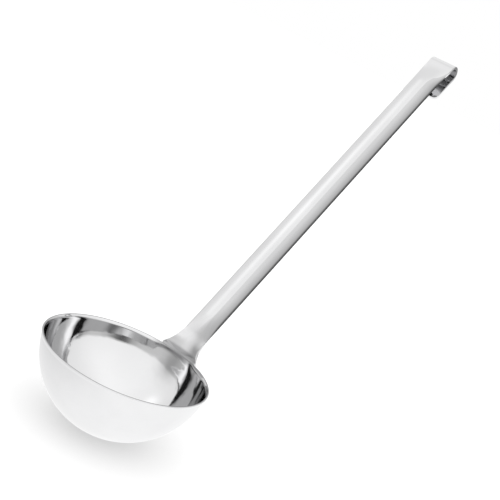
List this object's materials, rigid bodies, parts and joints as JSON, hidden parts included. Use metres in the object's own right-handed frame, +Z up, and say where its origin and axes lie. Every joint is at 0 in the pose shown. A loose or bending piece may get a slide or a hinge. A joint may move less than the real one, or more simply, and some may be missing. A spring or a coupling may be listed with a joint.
{
  "type": "serving ladle",
  "caption": "Polished steel serving ladle: round drawn bowl with a small lip, long crowned strip handle welded to its outside, flared neck and folded-back hanging hook.",
  "frame": {"origin": "centre of the small flat under the bowl", "axes": "+Z up along the bowl's axis, so the rim is level; the handle leans out towards +X; the part is alike on both sides of the XZ plane"},
  "size_m": [0.2614, 0.1, 0.262],
  "materials": {
    "bowl_steel": "mirror-polished stainless steel",
    "handle_steel": "polished stainless steel",
    "weld_metal": "polished over"
  },
  "bodies": {
    "root": {"bowl": "bowl_steel", "handle": "handle_steel", "spot_weld_left": "weld_metal", "spot_weld_right": "weld_metal"}
  },
  "joints": []
}
